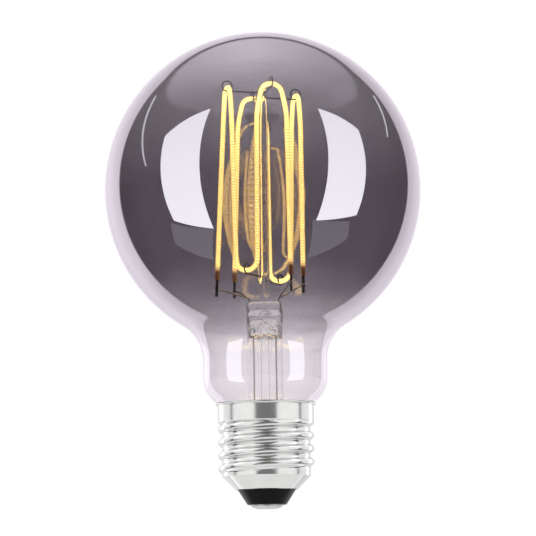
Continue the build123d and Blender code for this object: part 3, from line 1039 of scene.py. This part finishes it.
@dataclass
class Driver:
    """Circuit board in the cap with what is soldered to it, each finish under its node's name."""

    # Pressed glass and epoxy, green and smooth
    driver_board: MouldedBody = MouldedBody(
        name="glass_epoxy_board", colour="#2E7A48", shade="#256A3D",
        roughness=0.4, grain=0.6, grain_depth=0.01,
    )
    # Shrunk sleeve, dark and half gloss
    smoothing_capacitor: MouldedBody = MouldedBody(
        name="capacitor_sleeve", colour="#22252E", shade="#1A1D25",
        roughness=0.3, grain=0.5, grain_depth=0.006,
    )
    # Moulded epoxy, near black and matt from the mould's spark-eroded skin
    bridge_rectifier: MouldedBody = MouldedBody(
        name="rectifier_epoxy", colour="#232323", shade="#1A1A1A",
        roughness=0.6, grain=0.2, grain_depth=0.008,
    )
    # The same epoxy from a smoother mould
    driver_chip: MouldedBody = MouldedBody(
        name="chip_epoxy", colour="#232323", shade="#1A1A1A",
        roughness=0.55, grain=0.2, grain_depth=0.008,
    )
    # Dipped lacquer, pale blue
    fuse_resistor: MouldedBody = MouldedBody(
        name="resistor_lacquer", colour="#8FB2BC", shade="#7EA2AD",
        roughness=0.4, grain=0.3, grain_depth=0.006,
    )
    # Thinly tinned copper wire, through which the copper shows
    neutral_wire: PlatedMetal = PlatedMetal(
        name="tinned_copper", colour="#D89A6C", shade="#C58457",
        roughness=0.3, grain=0.4, grain_depth=0.006,
    )

    def build(self) -> None:
        """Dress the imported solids."""
        for part in fields(self):
            dress_node(part.name, getattr(self, part.name).material())


@dataclass(frozen=True)
class LitPanel:
    """Flat lit panel that only the globe mirrors, in metres.

    A brightness of one is white, and a full panel is brighter at its foot than at its top.
    """

    name: str
    corners: tuple[Point, Point, Point, Point]
    share: float = 1.0
    colour: str = "#F8F6FF"
    top_z: float = 1.16
    top_white: float = 1.82
    foot_z: float = -0.69
    foot_white: float = 2.13

    def material(self) -> bpy.types.Material:
        """Build the panel's light.

        Returns:
            The material.
        """
        material = bpy.data.materials.new(self.name)
        material.use_nodes = True
        tree = material.node_tree
        tree.nodes.clear()
        place = add_node(tree, "ShaderNodeTexCoord")
        axes = add_node(tree, "ShaderNodeSeparateXYZ", {"Vector": place.outputs["Object"]})
        power = add_node(
            tree,
            "ShaderNodeMapRange",
            {
                "Value": axes.outputs["Z"],
                "From Min": self.foot_z,
                "From Max": self.top_z,
                "To Min": self.foot_white * self.share,
                "To Max": self.top_white * self.share,
            },
        )
        light = add_node(
            tree, "ShaderNodeEmission", {"Color": linear(self.colour), "Strength": power.outputs[0]}
        )
        add_node(tree, "ShaderNodeOutputMaterial", {"Surface": light.outputs[0]})
        return material

    def hang(self, mirrors: bpy.types.Collection) -> None:
        """Hang the panel.

        Args:
            mirrors: collection of what mirrors it.
        """
        shape = bmesh.new()
        shape.faces.new([shape.verts.new(corner) for corner in self.corners])
        mesh = bpy.data.meshes.new(self.name)
        shape.to_mesh(mesh)
        shape.free()
        mesh.materials.append(self.material())
        panel = bpy.data.objects.new(self.name, mesh)
        bpy.context.scene.collection.objects.link(panel)
        panel.visible_camera = False
        panel.visible_diffuse = False
        panel.visible_transmission = False
        panel.visible_shadow = False
        panel.light_linking.receiver_collection = mirrors


@dataclass(frozen=True)
class CapLamp:
    """Soft lamp that lights the cap alone, in metres, with a brightness where one is white."""

    name: str
    direction: Vector
    distance: float
    width: float
    height: float
    white: float

    def hang(self, centre: Vector, lit: bpy.types.Collection) -> None:
        """Hang the lamp so that it faces the cap.

        Args:
            centre: middle of the cap.
            lit: collection of the pieces that it lights.
        """
        data = bpy.data.lights.new(self.name, "AREA")
        data.shape = "RECTANGLE"
        data.size = self.width
        data.size_y = self.height
        # Blender spreads an area lamp's power over four times its area
        data.energy = 4 * self.width * self.height * self.white
        lamp = bpy.data.objects.new(self.name, data)
        place = Matrix.Translation(centre + self.direction.normalized() * self.distance)
        lamp.matrix_world = place @ self.direction.to_track_quat("Z", "Y").to_matrix().to_4x4()
        bpy.context.scene.collection.objects.link(lamp)
        lamp.light_linking.receiver_collection = lit


@dataclass(frozen=True)
class Ramp:
    """Change of a level along one measure, from a start to an end."""

    start: float
    end: float
    first: float = 0.0
    last: float = 1.0
    blend: Blend = Blend.EVEN


@dataclass
class WhiteRoom:
    """Room round the bulb, white to the eye, with a backdrop and a ceiling that only show in reflections.

    Each ramp goes along a component of the direction in which a ray leaves, and gives a brightness.
    """

    backdrop_facing: Point = (-0.03, 0.9995, 0.0)
    backdrop_sides: Ramp = Ramp(0.595, 0.635, blend=Blend.SOFT)
    backdrop_top: Ramp = Ramp(0.675, 0.635, blend=Blend.SOFT)
    wash_facing: Point = (-0.2, 1.0, 0.0)
    wash: Ramp = Ramp(0.55, 0.95, 0.9, 1.3)
    upper_fall: Ramp = Ramp(0.2, 0.7, 1.0, 0.72)
    lower_fall: Ramp = Ramp(-0.62, -0.3, 0.72, 1.0)
    rim_fall: Ramp = Ramp(0.84, 1.0, 1.0, 0.7)
    ceiling_edge: Ramp = Ramp(0.685, 0.745, blend=Blend.SOFT)
    ceiling_depth: Ramp = Ramp(-0.5, 0.35, 0.18, 0.8, Blend.SOFT)
    ceiling_middle: float = -0.07
    ceiling_spread: Ramp = Ramp(0.05, 0.6, 1.0, 0.28)
    dark_level: float = 0.021
    blurred_share: float = 0.85
    white: str = "#FFFFFF"
    lilac: str = "#FCF3FF"
    walls_crossed: float = 5.5

    def add_mirrored(self, tree: bpy.types.NodeTree) -> bpy.types.NodeSocket:
        """Add what the glass and the cap mirror of the room.

        Args:
            tree: node tree of the world.

        Returns:
            The brightness in the direction of a ray.
        """
        place = add_node(tree, "ShaderNodeTexCoord").outputs["Generated"]
        axes = add_node(tree, "ShaderNodeSeparateXYZ", {"Vector": place}).outputs
        behind, leftward = (
            add_node(tree, "ShaderNodeVectorMath", {0: place, 1: facing}, operation="DOT_PRODUCT")
            for facing in (self.backdrop_facing, self.wash_facing)
        )
        offset = add_node(
            tree, "ShaderNodeMath", {0: axes["X"], 1: self.ceiling_middle}, operation="SUBTRACT"
        )
        aside = add_node(tree, "ShaderNodeMath", {0: offset.outputs[0]}, operation="ABSOLUTE")
        backdrop = (
            (behind.outputs["Value"], self.backdrop_sides),
            (axes["Z"], self.backdrop_top),
            (leftward.outputs["Value"], self.wash),
            (axes["Z"], self.upper_fall),
            (axes["Z"], self.lower_fall),
            (axes["Y"], self.rim_fall),
        )
        ceiling = (
            (axes["Z"], self.ceiling_edge),
            (axes["Y"], self.ceiling_depth),
            (aside.outputs[0], self.ceiling_spread),
        )
        level = self.dark_level
        for surface in (backdrop, ceiling):
            lit = 1.0
            for measure, ramp in surface:
                step = add_node(
                    tree,
                    "ShaderNodeMapRange",
                    {
                        "Value": measure,
                        "From Min": ramp.start,
                        "From Max": ramp.end,
                        "To Min": ramp.first,
                        "To Max": ramp.last,
                    },
                    interpolation_type=ramp.blend.value,
                )
                product = add_node(
                    tree, "ShaderNodeMath", {0: lit, 1: step.outputs[0]}, operation="MULTIPLY"
                )
                lit = product.outputs[0]
            level = add_node(tree, "ShaderNodeMath", {0: level, 1: lit}, operation="ADD").outputs[0]
        return level

    def build(self) -> None:
        """Light the room: white to the eye, on the floor and through glass, lit in part in reflections."""
        world = bpy.data.worlds.new("white_room")
        bpy.context.scene.world = world
        world.use_nodes = True
        tree = world.node_tree
        tree.nodes.clear()
        room = self.add_mirrored(tree)
        light_path = add_node(tree, "ShaderNodeLightPath")
        rays = {kind: light_path.outputs[kind.value] for kind in RayKind}
        straight = add_node(
            tree, "ShaderNodeMath", {0: rays[RayKind.GLOSSY_DEPTH], 1: 0.5}, operation="LESS_THAN"
        )
        through = add_node(
            tree,
            "ShaderNodeMath",
            {0: rays[RayKind.TRANSMISSION], 1: straight.outputs[0]},
            operation="MULTIPLY",
        )
        deep = add_node(
            tree,
            "ShaderNodeMath",
            {0: rays[RayKind.TRANSMISSION_DEPTH], 1: self.walls_crossed},
            operation="GREATER_THAN",
        )
        seen = through.outputs[0]
        for other in (deep.outputs[0], rays[RayKind.CAMERA], rays[RayKind.DIFFUSE]):
            seen = add_node(tree, "ShaderNodeMath", {0: seen, 1: other}, operation="MAXIMUM").outputs[0]
        sharp = rays[RayKind.SINGULAR]
        share = add_node(tree, "ShaderNodeMapRange", {"Value": sharp, "To Min": self.blurred_share})
        shown = add_node(tree, "ShaderNodeMath", {0: room, 1: share.outputs[0]}, operation="MULTIPLY")
        level = add_node(
            tree, "ShaderNodeMix", {"Factor": seen, "A": shown.outputs[0], "B": 1.0}, data_type="FLOAT"
        )
        tinged = add_node(
            tree,
            "ShaderNodeMix",
            {"Factor": sharp, "A": linear(self.white), "B": linear(self.lilac)},
            data_type="RGBA",
        )
        hue = add_node(
            tree,
            "ShaderNodeMix",
            {"Factor": seen, "A": tinged.outputs["Result"], "B": linear(self.white)},
            data_type="RGBA",
        )
        light = add_node(
            tree,
            "ShaderNodeBackground",
            {"Color": hue.outputs["Result"], "Strength": level.outputs["Result"]},
        )
        add_node(tree, "ShaderNodeOutputWorld", {"Surface": light.outputs[0]})


@dataclass
class Studio:
    """White room with two soft boxes, a pale floor and the camera, in metres."""

    floor_z: float = -0.32
    floor_size: float = 12.0
    floor_colour: str = "#F2F2F2"
    floor_roughness: float = 0.9
    stand_share: float = 0.085
    tube_share: float = 0.5
    cap_centre: Point = (0.0, 0.0, 0.016)
    cap_front_turn: float = 56.0
    cap_flank_turn: float = 118.0
    cap_lamp_rise: float = 0.49
    camera_place: Point = (0.00115, -0.610, -0.022)
    camera_pitch: float = 8.27
    camera_roll: float = -0.8
    camera_reach: tuple[float, float] = (0.01, 50.0)
    sensor_mm: float = 36.0
    focal_px: float = 2215.0
    image_px: float = 536.0
    light_bounces: int = 32

    def set_camera(self) -> None:
        """Place the camera where the bulb is seen from a little below."""
        data = bpy.data.cameras.new("photo_camera")
        data.sensor_width = self.sensor_mm
        data.lens = self.focal_px / self.image_px * self.sensor_mm
        data.clip_start, data.clip_end = self.camera_reach
        camera = bpy.data.objects.new("photo_camera", data)
        pitch = Matrix.Rotation(math.radians(90 + self.camera_pitch), 4, "X")
        roll = Matrix.Rotation(math.radians(self.camera_roll), 4, "Z")
        camera.matrix_world = Matrix.Translation(self.camera_place) @ pitch @ roll
        bpy.context.scene.collection.objects.link(camera)
        bpy.context.scene.camera = camera

    def add_floor(self) -> None:
        """Lay a pale floor below the bulb."""
        shape = bmesh.new()
        bmesh.ops.create_grid(shape, x_segments=1, y_segments=1, size=self.floor_size / 2)
        bmesh.ops.translate(shape, verts=shape.verts, vec=(0, 0, self.floor_z))
        mesh = bpy.data.meshes.new("floor")
        shape.to_mesh(mesh)
        shape.free()
        material, _, paint = start_material("pale_floor")
        paint.inputs["Base Color"].default_value = linear(self.floor_colour)
        paint.inputs["Roughness"].default_value = self.floor_roughness
        mesh.materials.append(material)
        floor = bpy.data.objects.new("floor", mesh)
        bpy.context.scene.collection.objects.link(floor)
        floor.visible_glossy = False

    def panels(self) -> tuple[LitPanel, ...]:
        """Lay out what lights the globe from each side.

        Returns:
            The soft boxes, the pale stands below them and the tube lamps behind them.
        """
        return (
            LitPanel(
                "soft_box_left",
                ((-0.72, -0.64, 1.16), (-1.24, -0.22, 0.77), (-1.28, -0.42, -0.41), (-0.80, -0.91, -0.69)),
            ),
            LitPanel(
                "soft_box_right",
                ((0.78, -0.59, 1.13), (1.22, -0.19, 0.82), (1.32, -0.36, -0.35), (0.86, -0.94, -0.59)),
            ),
            LitPanel(
                "stand_left",
                ((-1.30, -0.34, -0.42), (-0.80, -0.91, -0.69), (-0.75, -0.47, -1.04), (-1.20, -0.18, -0.67)),
                self.stand_share,
            ),
            LitPanel(
                "stand_right",
                ((0.81, -0.98, -0.59), (1.25, -0.44, -0.46), (1.18, -0.29, -0.67), (0.67, -0.54, -1.06)),
                self.stand_share,
            ),
            LitPanel(
                "tube_left",
                ((-0.86, 0.66, 1.00), (-0.89, 0.61, 1.02), (-1.39, 0.02, 0.41), (-1.39, 0.06, 0.41)),
                self.tube_share,
            ),
            LitPanel(
                "tube_right",
                ((0.86, 0.73, 0.95), (0.82, 0.79, 0.93), (1.19, 0.50, 0.68), (1.21, 0.46, 0.68)),
                self.tube_share,
            ),
        )

    def light_globe(self, glass: bpy.types.Object) -> None:
        """Hang the lit panels that the globe mirrors.

        Args:
            glass: the globe, which alone mirrors them.
        """
        mirrors = bpy.data.collections.new("mirroring_glass")
        mirrors.objects.link(glass)
        for panel in self.panels():
            panel.hang(mirrors)

    def light_cap(self, pieces: list[bpy.types.Object]) -> None:
        """Set soft lamps round the screw cap, with a dim gap towards the camera.

        Args:
            pieces: what the lamps light, the insulator last.
        """
        metal = bpy.data.collections.new("cap_metal")
        for piece in pieces[:-1]:
            metal.objects.link(piece)
        whole = bpy.data.collections.new("whole_cap")
        for piece in pieces:
            whole.objects.link(piece)
        centre = Vector(self.cap_centre)
        ahead = around(1, CAMERA_SIDE, 0.0)
        under = Vector((0, -0.1, -1))
        fill = CapLamp("cap_fill", ahead, distance=0.8, width=0.7, height=1.0, white=0.17)
        below = CapLamp("cap_underneath", under, distance=0.3, width=0.9, height=0.9, white=0.8)
        for lamp in (fill, below):
            lamp.hang(centre, metal)
        for side in Side:
            before = around(1, CAMERA_SIDE + side.value * self.cap_front_turn, self.cap_lamp_rise)
            beside = around(1, CAMERA_SIDE + side.value * self.cap_flank_turn, self.cap_lamp_rise)
            front_name = f"cap_front_{side.label()}"
            flank_name = f"cap_flank_{side.label()}"
            front = CapLamp(front_name, before, distance=0.8, width=1.0, height=1.9, white=0.95)
            flank = CapLamp(flank_name, beside, distance=0.8, width=0.8, height=1.9, white=0.85)
            for lamp in (front, flank):
                lamp.hang(centre, whole)

    def build(self) -> None:
        """Set up the room, its light and the camera."""
        scene = bpy.context.scene
        scene.view_settings.view_transform = "Standard"
        scene.cycles.max_bounces = self.light_bounces
        scene.cycles.transmission_bounces = self.light_bounces
        self.set_camera()
        self.add_floor()
        WhiteRoom().build()


def main() -> None:
    """Build the bulb and its studio."""
    logging.basicConfig(level=logging.INFO, format="%(name)s: %(message)s")
    studio = Studio()
    studio.build()
    glass = GlassEnvelope().build()
    StemMount().build()
    FilamentCage().build()
    cap = ScrewCap().build()
    Driver().build()
    studio.light_globe(glass)
    studio.light_cap(cap)


if __name__ == "__main__":
    main()
